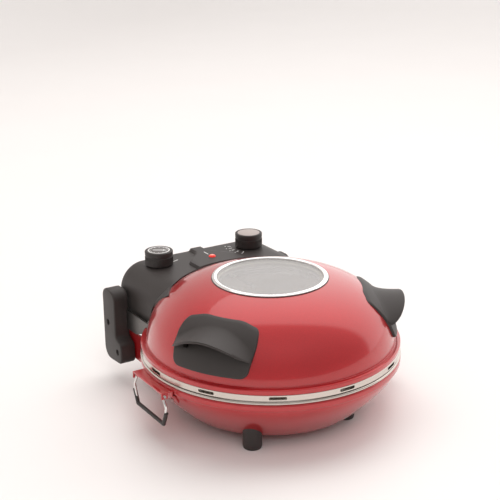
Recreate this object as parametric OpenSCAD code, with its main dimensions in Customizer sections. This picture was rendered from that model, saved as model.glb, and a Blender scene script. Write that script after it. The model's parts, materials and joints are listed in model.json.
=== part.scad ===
// Countertop pizza oven: a round clamshell with a hinged domed lid, a baking stone, an element
// above and below it, and a control housing on the back of the lid.
// Millimetres. +Z up, the front faces -Y, and the origin is on the table under the middle of
// the whole oven. Modules draw round the oven's own axis, and in_place() shifts them back.

/* [Body] */
// Radius of the rims where lid and base meet
rim_r = 175.5; // [175:0.5:177]
// Thickness of the painted steel shells
shell_t = 1.5; // [1:0.1:1.8]
// Thickness of the bright reflector sheets
liner_t = 0.8; // [0.6:0.1:1]
// Height of the painted base rim's top
base_top = 79; // [78.5:0.1:79]
// Height of the flat underside above the table
belly_z = 14.5; // [13:0.5:15]
// Space between the lid's shell and its reflector
liner_gap = 8; // [7:0.5:9]

/* [Window] */
// Radius of the opening in the dome
window_hole_r = 74; // [73.5:0.1:74.2]
// Radius of the bright ring outside
ring_r = 77.5; // [77:0.5:79]
// Thickness of the tempered glass
glass_t = 4; // [3:0.5:4]

/* [Stone] */
// Radius of the baking stone
stone_r = 157.5; // [150:0.5:158]
// Thickness of the baking stone
stone_t = 12; // [8:0.5:12]
// Height of the stone's underside
stone_z = 62; // [61.5:0.5:62]

/* [Heating elements] */
// Radius of each element's loop
element_r = 112; // [95:1:114]
// Radius of the element tube
tube_r = 3.25; // [3:0.05:3.3]
// Height of the lower element
low_element_z = 52; // [51:0.5:52]
// Height of the upper element
high_element_z = 150; // [149:0.5:151]

/* [Hinge] */
// Distance of the hinge axis behind the oven's axis
hinge_y = 167; // [166:0.5:168]
// Height of the hinge axis
hinge_z = 47; // [46:0.5:47]
// Radius of the hollow hinge pin
pin_r = 4; // [3.9:0.05:4.1]
// Running clearance round the pin and the knob shafts
running = 0.05; // [0.03:0.01:0.08]

/* [Control housing] */
// Half the width of the housing
housing_x = 123; // [121:0.5:123]
// Height of the housing's underside
housing_low = 91; // [90:0.5:92]
// Height of the housing's top
housing_top = 163; // [162:0.5:164]
// Distance of the housing's back behind the oven's axis
housing_back = 204; // [202:0.5:204]
// Radius of the rounded ends
housing_round = 36; // [30:1:40]
// Wall of the black mouldings
wall = 2.5; // [2:0.1:2.6]

/* [Knobs] */
// Distance of each knob from the middle
knob_x = 75; // [72:1:78]
// Distance of the knobs behind the oven's axis
knob_y = 174; // [172:0.5:176]
// Radius of the knobs
knob_r = 20; // [18:0.5:20]
// Height of the knobs' tops
knob_top = 184.6; // [183:0.2:186]
// Radius of the knob shafts
shaft_r = 3; // [2.8:0.1:3.2]

/* [Lid handles] */
// Angle of each lid handle from the front
handle_angle = 61; // [60:0.5:62]
// Half the width of the handle's plate
handle_half = 56.5; // [56:0.5:57.5]
// Reach of the handle's brim in front of its plate
brim_reach = 16.5; // [14:0.5:18]
// Thickness of the handle's mouldings
handle_t = 3.6; // [3:0.1:4]

/* [Bails] */
// Distance of each bail from the middle
bail_x = 184; // [184:0.2:185]
// Height of the bail's pivot
bail_z = 71.5; // [71.5:0.1:72]
// Half the width of the bail
bail_half = 44; // [43:0.5:46]
// Height of the bail's grip above the table
grip_z = 23.5; // [23:0.5:28]
// Radius of the bail wire
wire_r = 1.75; // [1.6:0.05:1.75]
// Radius of the black sleeve over the wire
sleeve_r = 2.6; // [2.4:0.1:2.8]

/* [Feet] */
// Radius of the feet
foot_r = 12.5; // [11.5:0.5:13]
// Distance of the feet from the oven's axis
foot_reach = 133; // [132:0.5:134]
// Angle of the feet from the front and from the back
foot_angle = 43; // [40:1:46]
// Distance of the front right foot, which sits closer in than the others
near_reach = 110; // [109:0.5:112]
// Angle of the front right foot from the front
near_angle = 31.5; // [31:0.5:33]

/* [Hidden] */
$fn = 64;

front_y = -rim_r;
rear_y = 209;
axis_y = -(front_y + rear_y) / 2;
fit = 0.1;
join = 0.02;
knuckle = 0.12;

red = [0.62, 0.03, 0.06];
black = [0.10, 0.09, 0.09];
bright = [0.82, 0.81, 0.79];
steel = [0.58, 0.58, 0.57];

// ---- curves and outlines ----

function unit(v) = v / norm(v);
function bezier(p, t) =
    pow(1 - t, 3) * p[0] + 3 * pow(1 - t, 2) * t * p[1] + 3 * (1 - t) * t * t * p[2] + pow(t, 3) * p[3];
function tangent(p, t) =
    unit(pow(1 - t, 2) * (p[1] - p[0]) + 2 * (1 - t) * t * (p[2] - p[1]) + t * t * (p[3] - p[2]));
// Points along a curve, moved sideways by gap: away from the axis on both shells
function curve(p, gap = 0, steps = 18) =
    [for (i = [0 : steps]) let (d = tangent(p, i / steps)) bezier(p, i / steps) + gap * [d.y, -d.x]];
function reverse(p) = [for (i = [len(p) - 1 : -1 : 0]) p[i]];
// Outline with corners given as [x, y, radius], counterclockwise
function rounded(c, steps = 6) = [for (i = [0 : len(c) - 1])
    let (n = len(c), o = [c[i].x, c[i].y], a = c[(i + n - 1) % n], b = c[(i + 1) % n],
         u = unit([a.x, a.y] - o), v = unit([b.x, b.y] - o), half = acos(u * v) / 2,
         q = o + unit(u + v) * c[i].z / sin(half),
         w0 = atan2(-(u + v).y, -(u + v).x), turn = (90 - half) * sign(u.y * v.x - u.x * v.y))
    for (k = [0 : (c[i].z > 0 ? steps : 0)]) let (w = w0 + turn * (2 * k / steps - 1))
        c[i].z > 0 ? q + c[i].z * [cos(w), sin(w)] : o];
// Radius of a shell at a height, and how far its outward normal leans up there
function radius_at(p, z) = lookup(z, [for (q = curve(p)) [q.y, q.x]]);
function lean_at(p, z) = atan2(radius_at(p, z - 1) - radius_at(p, z + 1), 2);
// Closed outline of a thin sheet that follows a path
function side(p, i) = let (d = unit(p[min(i + 1, len(p) - 1)] - p[max(i - 1, 0)])) [d.y, -d.x];
function sheet(p, t) = concat([for (i = [0 : len(p) - 1]) p[i] + side(p, i) * t / 2],
                              [for (i = [len(p) - 1 : -1 : 0]) p[i] - side(p, i) * t / 2]);

dome = [[168, 99.5], [163, 134.5], [146.5, 170], [window_hole_r, 182.5]];
bowl = [[128, belly_z], [143, 28], [171, 57], [172.2, 68]];
edge_low = 92.3;
shoulder_z = 98.7;
lip_r = 2;
rim_low = 69.5;
rim_outline = rounded([[172.6, rim_low, 0], [rim_r, rim_low, 2.6],
                       [rim_r, base_top, 2.6], [172, base_top, 0]]);
lip_z = base_top + lip_r;
lid_rim = rim_r - 0.9;
// The whole base and the whole lid as filled outlines, grown by gap
function base_outline(gap) = concat([[0, belly_z - gap]], curve(bowl, gap),
    [[172.2 + gap, rim_low - gap], [rim_r + gap, rim_low - gap], [rim_r + gap, base_top + gap],
     [0, base_top + gap]]);
function lid_outline(gap) = concat([[0, 86], [lid_rim + gap, 86], [lid_rim + gap, shoulder_z + gap]],
    [for (q = curve(dome, gap)) if (q.y > shoulder_z + gap) q], [[0, 183 + gap]]);

module in_place() { translate([0, axis_y, 0]) children(); }
// The start of the turn is kept clear of every slot and hole
module turned(outline) { rotate([0, 0, 15]) rotate_extrude($fn = 96) polygon(outline); }
module along_y(y0, y1) { translate([0, y1, 0]) rotate([90, 0, 0]) linear_extrude(y1 - y0) children(); }
module along_x(x0, x1) { translate([x0, 0, 0]) rotate([90, 0, 90]) linear_extrude(x1 - x0) children(); }
// Cylinder between two points
module rod(a, b, r) {
    d = b - a;
    translate(a) rotate([0, acos(d.z / norm(d)), atan2(d.y, d.x)]) cylinder(h = norm(d), r = r);
}
module wire(path, r) {
    for (i = [0 : len(path) - 2]) rod(path[i], path[i + 1], r);
    for (i = [1 : len(path) - 2]) translate(path[i]) sphere(r + knuckle);
}
module ring(r, z, tube) { rotate_extrude($fn = 96) translate([r, z]) circle(tube); }
// Places something on a surface of revolution: turned from the front, at a radius and height
module on_round(angle, r, z, tilt = 0) {
    rotate([0, 0, angle]) translate([0, -r, z]) rotate([90 - tilt, 0, 0]) children();
}
module both_sides() { children(); mirror([1, 0, 0]) children(); }

// ---- base ----

feet = [[-1, -1], [1, -1], [-1, 1], [1, 1]];
function is_near(f) = f.x > 0 && f.y < 0;
function foot_turn(f) = f.y > 0 ? 180 - f.x * foot_angle : f.x * (is_near(f) ? near_angle : foot_angle);
function screw_reach(f) = is_near(f) ? near_reach : foot_reach - 9.2;
floor_top = belly_z + shell_t;
floor_r = lookup(floor_top, [for (q = curve(bowl, -shell_t)) [q.y, q.x]]);
module base_holes() {
    for (a = [0 : 30 : 330]) rotate([0, 0, a]) translate([70, -3, belly_z - 1]) cube([34, 6, 4]);
    for (f = feet) rotate([0, 0, foot_turn(f)])
        translate([0, -screw_reach(f), belly_z - 1]) cylinder(h = 5, r = 1.9);
}

module base_shell() {
    color(red) in_place() difference() {
        turned(concat([[0, floor_top], [0, belly_z]], curve(bowl), rim_outline, [[170.4, base_top]],
                      [for (q = reverse(curve(bowl, -shell_t))) if (q.y > floor_top) q],
                      [[floor_r, floor_top]]));
        base_holes();
        lead_entry(lead_r + 0.6);
        both_sides() for (z = [43, 58]) bracket_screw(z) cylinder(h = 10, r = 1.7, center = true);
    }
}

liner_floor = 33;
liner_path = [[172.6, lip_z + lip_r - liner_t / 2], [168.4, lip_z + lip_r - liner_t / 2], [167.6, lip_z],
              [163, 60], [146, 42], [136, 34], [132, liner_floor], [0, liner_floor]];
module base_reflector() {
    color(bright) in_place() difference() {
        union() {
            turned(sheet(liner_path, liner_t));
            ring(rim_r - 2.1, lip_z, lip_r);
        }
        both_sides() along_y(140, 168) translate([lead_gap, low_element_z]) circle(bush_r + fit);
    }
}

ledge_in = 128;
ledge_out = 150;
module stone_supports() {
    color(steel) in_place() for (a = [45 : 90 : 315]) rotate([0, 0, a]) along_y(-8, 8)
        polygon(rounded([[116, liner_floor + liner_t / 2, 0], [ledge_in + 1.6, liner_floor + liner_t / 2, 0],
            [ledge_in + 1.6, stone_z - 1.9, 0], [ledge_out, stone_z - 1.9, 0], [ledge_out, stone_z - 0.3, 0],
            [ledge_in, stone_z - 0.3, 1], [ledge_in, liner_floor + 2, 0.6], [116, liner_floor + 2, 0]]));
}

// An element loop: open at the back, where its two ends turn back to the terminals
lead_gap = 13.65;
bush_r = 5;
module element(z, back) {
    gap_angle = asin(lead_gap / element_r);
    rotate_extrude(angle = 360 - 2 * gap_angle, start = 90 + gap_angle, $fn = 96)
        translate([element_r, z]) circle(tube_r);
    end_y = element_r * cos(gap_angle);
    both_sides() {
        translate([lead_gap, end_y, z]) sphere(tube_r + knuckle);
        rod([lead_gap, end_y, z], [lead_gap, back, z], tube_r);
    }
}
module element_clip(angle, z, from) {
    low = min(from, z - 5.2);
    high = max(from, z + 5.2);
    difference() {
        rotate([0, 0, angle]) translate([element_r - 5.2, -4, low]) cube([10.4, 8, high - low]);
        ring(element_r, z, tube_r + join);
    }
}
clip_angles = [30, 150, 270];

module lower_element() { color([0.34, 0.33, 0.32]) in_place() element(low_element_z, 157.5); }
module lower_element_clips() {
    color(steel) in_place() for (a = clip_angles) element_clip(a, low_element_z, liner_floor + liner_t / 2);
}
module bush(y0, y1, z) {
    both_sides() difference() {
        union() {
            rod([lead_gap, y0, z], [lead_gap, y1, z], bush_r);
            rod([lead_gap, y0 - 2.5, z], [lead_gap, y0, z], bush_r + 1.6);
        }
        rod([lead_gap, y0 - 4, z], [lead_gap, y1 + 1, z], tube_r + join);
    }
}
module lower_terminals() { color([0.88, 0.86, 0.80]) in_place() bush(147, 156, low_element_z); }

// Insulated lead: from the hollow pin, through the shell, round between shell and reflector
lead_r = 2;
lead_x = 100;
lead_ring = 154;
lead_start = atan2(118, lead_x);
lead_end = 80;
lead_y = 188;
lead_z = 101;
module lead_entry(r) { rod([lead_x, 110, hinge_z], [lead_x, 140, hinge_z], r); }
module lower_lead() {
    corner = lead_ring * [cos(lead_start), sin(lead_start)];
    color([0.75, 0.72, 0.66]) in_place() {
        wire([[pin_mid - 0.2, hinge_y, hinge_z], [lead_x, hinge_y, hinge_z], [corner.x, corner.y, hinge_z],
              [corner.x, corner.y, hinge_z] - [0, 0.5, 0]], lead_r);
        rotate_extrude(angle = lead_end - lead_start, start = lead_start, $fn = 96)
            translate([lead_ring, hinge_z]) circle(lead_r);
    }
}

module foot(f) {
    color(black) in_place() difference() {
        rotate([0, 0, foot_turn(f)]) translate([0, is_near(f) ? -near_reach : -foot_reach, 0]) {
            translate([0, 0, 3]) cylinder(h = 30, r = foot_r);
            cylinder(h = 3, r = foot_r - 1);
        }
        turned(base_outline(fit / 2));
        rotate([0, 0, foot_turn(f)]) translate([0, -screw_reach(f), 5]) cylinder(h = 14, r = 1.75);
    }
}
module foot_front_left() { foot(feet[0]); }
module foot_front_right() { foot(feet[1]); }
module foot_rear_left() { foot(feet[2]); }
module foot_rear_right() { foot(feet[3]); }
module foot_screws() {
    color(steel) in_place() for (f = feet) rotate([0, 0, foot_turn(f)]) translate([0, -screw_reach(f), 0]) {
        translate([0, 0, 6]) cylinder(h = belly_z - 4, r = 1.7);
        translate([0, 0, floor_top]) cylinder(h = 2.4, r = 3.4);
    }
}

// ---- carrying bails ----

ear_in = 38.4;
ear_out = 40;
plate_low = 74.8;
plate_t = 1.6;
bracket_path = concat([for (p = curve(bowl, 1)) if (p.y > 55 && p.y < 66) p],
                      [[174, 67.4], [177.2, 68.6], [177.2, plate_low + plate_t / 2]]);
module bail_bracket() {
    color(red) in_place() difference() {
        union() {
            intersection() {
                turned(sheet(bracket_path, 1.6));
                translate([-200, -ear_out, 40]) cube([100, 2 * ear_out, 60]);
            }
            translate([-bail_x - 4, -ear_out, plate_low]) cube([18, 2 * ear_out, plate_t]);
            for (y = [-ear_out, ear_in]) translate([-bail_x - 4, y, bail_z - 4])
                cube([9, ear_out - ear_in, 8]);
        }
        turned(base_outline(fit));
        rod([-bail_x, -50, bail_z], [-bail_x, 50, bail_z], wire_r + running);
    }
}
module left_bail_bracket() { bail_bracket(); }
module right_bail_bracket() { mirror([1, 0, 0]) bail_bracket(); }

neck = 36;
bend = 9;
sleeve_top = 50;
bail_path = [[neck + 6, bail_z], [neck, bail_z], [neck, 66], [bail_half, 57], [bail_half, grip_z + bend]];
// Round corner of the grip
module bail_corner(r) {
    translate([0, bail_half - bend, grip_z + bend]) rotate([0, 90, 0])
        rotate_extrude(angle = 90, start = 0, $fn = 64) translate([bend, 0]) circle(r);
}
module bail_wire() {
    color(bright) in_place() translate([-bail_x, 0, 0]) {
        for (s = [0, 1]) mirror([0, s, 0]) {
            wire([for (p = bail_path) [0, p.x, p.y]], wire_r);
            bail_corner(wire_r);
        }
        rod([0, bend - bail_half, grip_z], [0, bail_half - bend, grip_z], wire_r);
    }
}
module bail_sleeve() {
    color(black) in_place() translate([-bail_x, 0, 0]) difference() {
        for (s = [0, 1]) mirror([0, s, 0]) {
            rod([0, bail_half, grip_z + bend], [0, bail_half, sleeve_top], sleeve_r);
            bail_corner(sleeve_r);
            rod([0, -join, grip_z], [0, bail_half - bend, grip_z], sleeve_r);
        }
        for (s = [0, 1]) mirror([0, s, 0]) {
            rod([0, bail_half, grip_z + bend - join], [0, bail_half, sleeve_top + 1], wire_r);
            bail_corner(wire_r);
            rod([0, -join, grip_z], [0, bail_half - bend + join, grip_z], wire_r);
        }
    }
}
module left_bail_wire() { bail_wire(); }
module right_bail_wire() { mirror([1, 0, 0]) bail_wire(); }
module left_bail_sleeve() { bail_sleeve(); }
module right_bail_sleeve() { mirror([1, 0, 0]) bail_sleeve(); }

// Rivets through the bail brackets' flanges, and those that hold the stone supports
module base_rivets() {
    color(steel) in_place() {
        both_sides() for (a = [-10, 10]) on_round(90 + a, radius_at(bowl, 60), 60, lean_at(bowl, 60))
            translate([0, 0, 1.8]) cylinder(h = 1.4, r = 2.6);
        for (a = [45 : 90 : 315]) rotate([0, 0, a]) translate([121, 0, liner_floor + 2])
            cylinder(h = 1.4, r = 2.4);
    }
}

// ---- hinge ----

bracket_x = 123.6;
hinge_t = 3;
strap_x = 127.2;
pin_mid = 128.8;
module pivot_hole(x0, x1, r) { rod([x0, hinge_y, hinge_z], [x1, hinge_y, hinge_z], r); }
// Flange of width w that hugs a shell between two heights, on the right-hand side
module hugging_flange(x0, x1, z0, z1, in_outline, out_outline) {
    difference() {
        intersection() {
            turned(out_outline);
            translate([x0, 60, z0]) cube([x1 - x0, 120, z1 - z0]);
        }
        turned(in_outline);
    }
}
module hinge_bracket() {
    color(red) in_place() difference() {
        union() {
            difference() {
                along_x(bracket_x, bracket_x + hinge_t) polygon(rounded([[80, 39, 0], [120, 35, 4],
                    [hinge_y + 10, hinge_z - 10, 9.9], [hinge_y + 14, 74, 6],
                    [134, 76, 4], [80, 66, 0]]));
                turned(base_outline(fit));
            }
            hugging_flange(106, bracket_x + hinge_t, 36, 66, base_outline(fit), base_outline(fit + 2));
        }
        pivot_hole(100, 140, pin_r + join);
        for (z = [43, 58]) bracket_screw(z) cylinder(h = 20, r = 1.8, center = true);
    }
}
module bracket_screw(z) {
    r = radius_at(bowl, z);
    on_round(90 + acos(115 / r), r, z, lean_at(bowl, z)) children();
}
module left_hinge_bracket() { mirror([1, 0, 0]) hinge_bracket(); }
module right_hinge_bracket() { hinge_bracket(); }
module hinge_bracket_screws() {
    color(steel) in_place() both_sides() for (z = [43, 58]) bracket_screw(z) {
        translate([0, 0, 2.1]) cylinder(h = 2, r = 3.2);
        translate([0, 0, -3]) cylinder(h = 6, r = 1.6);
    }
}
// Hollow pin: a flange each side of bracket and strap, and a way through for the lead
module hinge_pin() {
    color(bright) in_place() difference() {
        union() {
            pivot_hole(121, strap_x + hinge_t + 3.6, pin_r);
            pivot_hole(121, bracket_x - join, pin_r + 2.5);
            pivot_hole(strap_x + hinge_t + 0.4, strap_x + hinge_t + 3.6, pin_r + 2.2);
        }
        pivot_hole(120, 140, lead_r + 0.5);
    }
}
module left_hinge_pin() { mirror([1, 0, 0]) hinge_pin(); }
module right_hinge_pin() { hinge_pin(); }

// Outline of the arm, seen from the side: a tall leg whose foot steps forward to the pivot
arm_outline = [[156, 31, 9], [204, 28, 16], [rear_y, 44, 12], [rear_y, 134.5, 12],
               [172, 134.5, 14], [172.5, 68, 8], [156, 60, 8]];
arm_inner = [[158.5, 33.4, 6.5], [203, 30.6, 13.5], [rear_y - 2.5, 45, 9.5], [rear_y - 2.5, 132, 9.5],
             [174.5, 132, 11.5], [175, 67, 10.5], [158.5, 58.4, 5.5]];
strap_outline = [[161.5, 39.4, 4], [182, 36.5, 3], [203, 58, 6], [203, 128.5, 6], [178, 128.5, 6],
                 [178, 106, 4], [104, 106, 0], [104, 93, 0], [146, 78, 6], [178, 78, 4],
                 [178, 70, 6], [161.5, 58.5, 4]];
arm_x = 126.9;
arm_out = 150;
tongue = [[100, 76.5, 0], [180, 76.5, 0], [180, 107.5, 0], [100, 107.5, 0]];
arm_screw = [194, 84.5];
flange_low = 100;
flange_high = 112;
module arm_screw_rod(x0, x1, r) { rod([x0, arm_screw.x, arm_screw.y], [x1, arm_screw.x, arm_screw.y], r); }
module hinge_strap() {
    color(bright) in_place() difference() {
        union() {
            difference() {
                along_x(strap_x, strap_x + hinge_t) polygon(rounded(strap_outline));
                turned(lid_outline(fit));
            }
            hugging_flange(108, strap_x + hinge_t, flange_low, flange_high, lid_outline(fit),
                           lid_outline(fit + 2));
        }
        pivot_hole(120, 140, pin_r + running);
        arm_screw_rod(120, 135, 2);
        rod([120, lead_y, lead_z], [135, lead_y, lead_z], lead_r + 0.6);
    }
}
module left_hinge_strap() { mirror([1, 0, 0]) hinge_strap(); }
module right_hinge_strap() { hinge_strap(); }

module arm_cover() {
    color(black) in_place() difference() {
        union() {
            difference() {
                along_x(arm_x, arm_out) polygon(rounded(arm_outline));
                along_x(arm_x - 1, arm_out - wall) polygon(rounded(arm_inner));
            }
            arm_screw_rod(strap_x + hinge_t + fit, arm_out - 1, 6.4);
            rod([139, hinge_y + 0.5, hinge_z], [arm_out - 1, hinge_y + 0.5, hinge_z], 6.4);
        }
        along_x(arm_x - 1, strap_x + hinge_t + fit) polygon(rounded(tongue));
        arm_screw_rod(130, arm_out + 1, 2);
        arm_screw_rod(138, arm_out + 1, 4);
        rod([141.5, hinge_y, hinge_z], [arm_out + 1, hinge_y, hinge_z], 4);
        rod([100, lead_y, lead_z], [135, lead_y, lead_z], lead_r + 0.6);
    }
}
module left_arm_cover() { mirror([1, 0, 0]) arm_cover(); }
module right_arm_cover() { arm_cover(); }
module arm_screws() {
    color(steel) in_place() both_sides() {
        arm_screw_rod(126, 138, 1.9);
        arm_screw_rod(138, 140.6, 3.8);
        rod([141.5, hinge_y, hinge_z], [144.4, hinge_y, hinge_z], 3.8);
    }
}

// ---- lid ----

// Ways through dome, reflector and housing for the element ends and the thermostat's probe
probe_x = 40;
probe_z = 128;
module lid_ways() {
    both_sides() along_y(100, 175) translate([lead_gap, high_element_z]) circle(bush_r + fit);
    along_y(100, 175) translate([probe_x, probe_z]) circle(3.6);
}
handle_screw_u = 34;
handle_screw_z = 134;
// The shell's flat shoulder and its turned-down edge
shoulder = [[dome[0].x - shell_t, 97.9], [lid_rim - shell_t, 97.2], [lid_rim - shell_t, edge_low],
            [lid_rim, edge_low], [lid_rim, shoulder_z - 1.7], [lid_rim - 0.5, shoulder_z - 0.6],
            [lid_rim - 1.6, shoulder_z]];
module lid_shell() {
    color(red) in_place() difference() {
        turned(concat(curve(dome), reverse(curve(dome, -shell_t)), shoulder));
        lid_ways();
        handle_screw_places() cylinder(h = 14, r = 1.7, center = true);
    }
}
band_r = rim_r - 1.6;
band_low = base_top + 2 * lip_r + 1;
band_top = edge_low - 0.1;
slot_w = 22;
slot_h = 4;
module lid_reflector() {
    path = concat([[band_r, band_low], [band_r, band_top - 0.5], [168, band_top - 0.5],
                   [165.4, band_top + 2]], curve(dome, -liner_gap));
    color(bright) in_place() difference() {
        turned(sheet([for (p = path) if (p.x > window_hole_r + 1) p], liner_t + 0.2));
        for (a = [0 : 30 : 330]) rotate([0, 0, a])
            translate([-slot_w / 2, -rim_r - 1, 88 - slot_h / 2]) cube([slot_w, 5, slot_h]);
        lid_ways();
    }
}

glass_top = 182.2;
glass_r = window_hole_r - 1.6;
module window_ring() {
    neck_r = window_hole_r - 0.3;
    ring_top = 184.4;
    color(bright) in_place() turned(rounded([[glass_r + 0.1, 174, 0], [neck_r, 174, 0], [neck_r, 182.7, 0],
        [ring_r, 182.2, 0.3], [ring_r - 0.3, 183.8, 0.8], [ring_r - 3, ring_top, 1], [71.4, ring_top, 0.8],
        [70.8, glass_top + join, 0], [glass_r + 0.1, glass_top + join, 0]], 3));
}
module window_glass() {
    color([0.75, 0.75, 0.74, 0.5]) in_place() translate([0, 0, glass_top - glass_t])
        cylinder(h = glass_t, r = glass_r, $fn = 96);
}
module window_gasket() {
    z = glass_top - glass_t;
    color([0.85, 0.83, 0.78]) in_place()
        turned([[68.5, z - 1.2], [glass_r, z - 1.2], [glass_r, z - join], [68.5, z - join]]);
}
module window_clamp_ring() {
    z = glass_top - glass_t - 1.2;
    color(steel) in_place() difference() {
        turned([[71.5, z - join], [71.5, 172], [84, 170.2], [84, 169], [69.5, 171], [69.5, z - join]]);
        for (a = [30 : 60 : 330]) rotate([0, 0, a]) translate([80, 0, 165]) cylinder(h = 10, r = 1.6);
    }
}
module window_clamp_screws() {
    color(steel) in_place() for (a = [30 : 60 : 330]) rotate([0, 0, a]) translate([80, 0, 0]) {
        translate([0, 0, 166.6]) cylinder(h = 1.9, r = 2.8);
        translate([0, 0, 168]) cylinder(h = 4.6, r = 1.5);
    }
}

module upper_element() { color([0.34, 0.33, 0.32]) in_place() element(high_element_z, 168); }
module upper_element_clips() {
    color(steel) in_place() intersection() {
        for (a = clip_angles) element_clip(a, high_element_z, 168);
        turned(lid_outline(-liner_gap - 0.7));
    }
}
module upper_terminals() { color([0.88, 0.86, 0.80]) in_place() bush(118, 158, high_element_z); }

// The lid handle: a plate that hugs the dome, and an arched brim that stands out from it
plate_gap = 0.3;
plate_outline = [[-52.5, 109, 10], [52.5, 109, 10], [handle_half, 145, 30], [51.5, 161.2, 11],
                 [27, 167.2, 60], [-27, 167.2, 60], [-51.5, 161.2, 11], [-handle_half, 145, 30]];
brim_end_z = 131;
brim_rise = 24;
function depth(z, u, out) = sqrt(pow(radius_at(dome, z), 2) - u * u) + out;
// The brim: an arch seen from in front, cut to its bowed edge seen from above
function arch(u) = brim_end_z + brim_rise * (1 - pow(u / handle_half, 2));
function brim_edge(u) = depth(brim_end_z, u, plate_gap + handle_t)
    + brim_reach * sqrt(max(1 - pow(abs(u) / handle_half, 3), 0));
module brim() {
    span = [for (i = [-10 : 10]) i / 10 * (handle_half - 2)];
    intersection() {
        along_y(-200, -100)
            polygon(concat([for (u = span) [u, arch(u) - handle_t]], reverse([for (u = span) [u, arch(u)]])));
        translate([0, 0, 110]) linear_extrude(60)
            polygon(concat([[handle_half, -100], [-handle_half, -100]], [for (u = span) [u, -brim_edge(u)]]));
    }
}
module handle_places() { for (s = [-1, 1]) rotate([0, 0, s * handle_angle]) children(); }
module handle_screw_places() {
    r = radius_at(dome, handle_screw_z);
    handle_places() for (s = [-1, 1])
        on_round(s * asin(handle_screw_u / r), r, handle_screw_z, lean_at(dome, handle_screw_z)) children();
}
module lid_handle(s) {
    color(black) in_place() difference() {
        rotate([0, 0, s * handle_angle]) {
            difference() {
                union() {
                    intersection() {
                        turned(lid_outline(plate_gap + handle_t));
                        along_y(-200, -90) polygon(rounded(plate_outline));
                    }
                    brim();
                }
                turned(lid_outline(plate_gap));
            }
        }
        handle_screw_places() translate([0, 0, -1]) cylinder(h = 8, r = 1.75);
    }
}
module left_lid_handle() { lid_handle(-1); }
module right_lid_handle() { lid_handle(1); }
module handle_screws() {
    color(steel) in_place() handle_screw_places() {
        translate([0, 0, plate_gap + handle_t]) cylinder(h = 1.8, r = 3.2);
        translate([0, 0, -3]) cylinder(h = 8, r = 1.6);
    }
}

// ---- control housing ----

function housing_outline(inset) = rounded([[-housing_x + inset, housing_low + inset, 6 - inset / 2],
    [housing_x - inset, housing_low + inset, 6 - inset / 2],
    [housing_x - inset, housing_top - inset, housing_round - inset],
    [-housing_x + inset, housing_top - inset, housing_round - inset]], 12);
pad_top = 167;
// The raised pad: wide towards the dome, and narrower in a smooth sweep towards the back
pad_wide = 40.5;
pad_narrow = 12;
pad_front = 146;
pad_back = 188;
function sweep(t) = 3 * t * t - 2 * t * t * t;
function pad_half(y) =
    pad_wide - (pad_wide - pad_narrow) * sweep(min(1, max(0, (y - pad_front) / (pad_back - pad_front))));
pad_edge = [for (y = [100, each [pad_front : 3 : pad_back], housing_back]) [pad_half(y), y]];
lens_y = 153;
cover_y = housing_back - 3;
gland_x = 70;
gland_z = 114;
module control_housing() {
    color(black) in_place() difference() {
        union() {
            along_y(96, housing_back) polygon(housing_outline(0));
            translate([0, 0, housing_top - 1]) linear_extrude(pad_top - housing_top + 1)
                polygon(concat(pad_edge, reverse([for (q = pad_edge) [-q.x, q.y]])));
        }
        turned(lid_outline(1.5));
        difference() {
            along_y(80, housing_back + 1) polygon(housing_outline(wall));
            turned(lid_outline(1.5 + wall));
        }
        lid_ways();
        both_sides() translate([knob_x, knob_y, 150]) cylinder(h = 20, r = shaft_r + 0.6);
        translate([0, lens_y, 150]) cylinder(h = 20, r = 4.1);
        rod([100, lead_y, lead_z], [140, lead_y, lead_z], lead_r + 0.6);
        both_sides() intersection() {
            turned(lid_outline(2.3));
            translate([107, 60, flange_low - 3]) cube([20, 90, flange_high - flange_low + 4]);
        }
    }
}
cover_screw_x = 108;
cover_screw_z = 131;
module cover_screw(y0, y1, r) {
    rod([cover_screw_x, y0, cover_screw_z], [cover_screw_x, y1, cover_screw_z], r);
}
module housing_cover() {
    color(black) in_place() difference() {
        along_y(cover_y, housing_back) polygon(housing_outline(wall + 0.1));
        for (x = [-48 : 8 : 48]) translate([x - 1.5, cover_y - 1, 122]) cube([3, 6, 24]);
        both_sides() cover_screw(cover_y - 1, housing_back + 1, 1.9);
        rod([gland_x, cover_y - 1, gland_z], [gland_x, housing_back + 1, gland_z], 6.1);
    }
}
module housing_screws() {
    color(steel) in_place() both_sides() {
        cover_screw(housing_back, housing_back + 1.8, 3.4);
        cover_screw(housing_back - 9, housing_back, 1.8);
    }
}
module cord_inlet_gland() {
    color(black) in_place() difference() {
        union() {
            rod([gland_x, cover_y - 6, gland_z], [gland_x, housing_back, gland_z], 6);
            rod([gland_x, housing_back, gland_z], [gland_x, rear_y, gland_z], 9);
            rod([gland_x, cover_y - 6, gland_z], [gland_x, cover_y - 0.1, gland_z], 8);
        }
        rod([gland_x, cover_y - 8, gland_z], [gland_x, rear_y + 1, gland_z], 3.6);
    }
}
module pilot_lens() {
    color([0.9, 0.1, 0.08]) in_place() translate([0, lens_y, 0]) {
        translate([0, 0, pad_top - 6]) cylinder(h = 6, r = 4);
        turned([[0, pad_top], [5.2, pad_top], [5, pad_top + 1], [3.8, pad_top + 2], [2, pad_top + 2.6],
                [0, pad_top + 2.8]]);
    }
}
module pilot_lamp() {
    color([0.8, 0.6, 0.5]) in_place() translate([0, lens_y, 0]) {
        translate([0, 0, pad_top - 12]) cylinder(h = 5.8, r = 3);
        for (x = [-1.3, 1.3]) translate([x, 0, pad_top - 18]) cylinder(h = 7, r = 0.4);
    }
}

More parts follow.
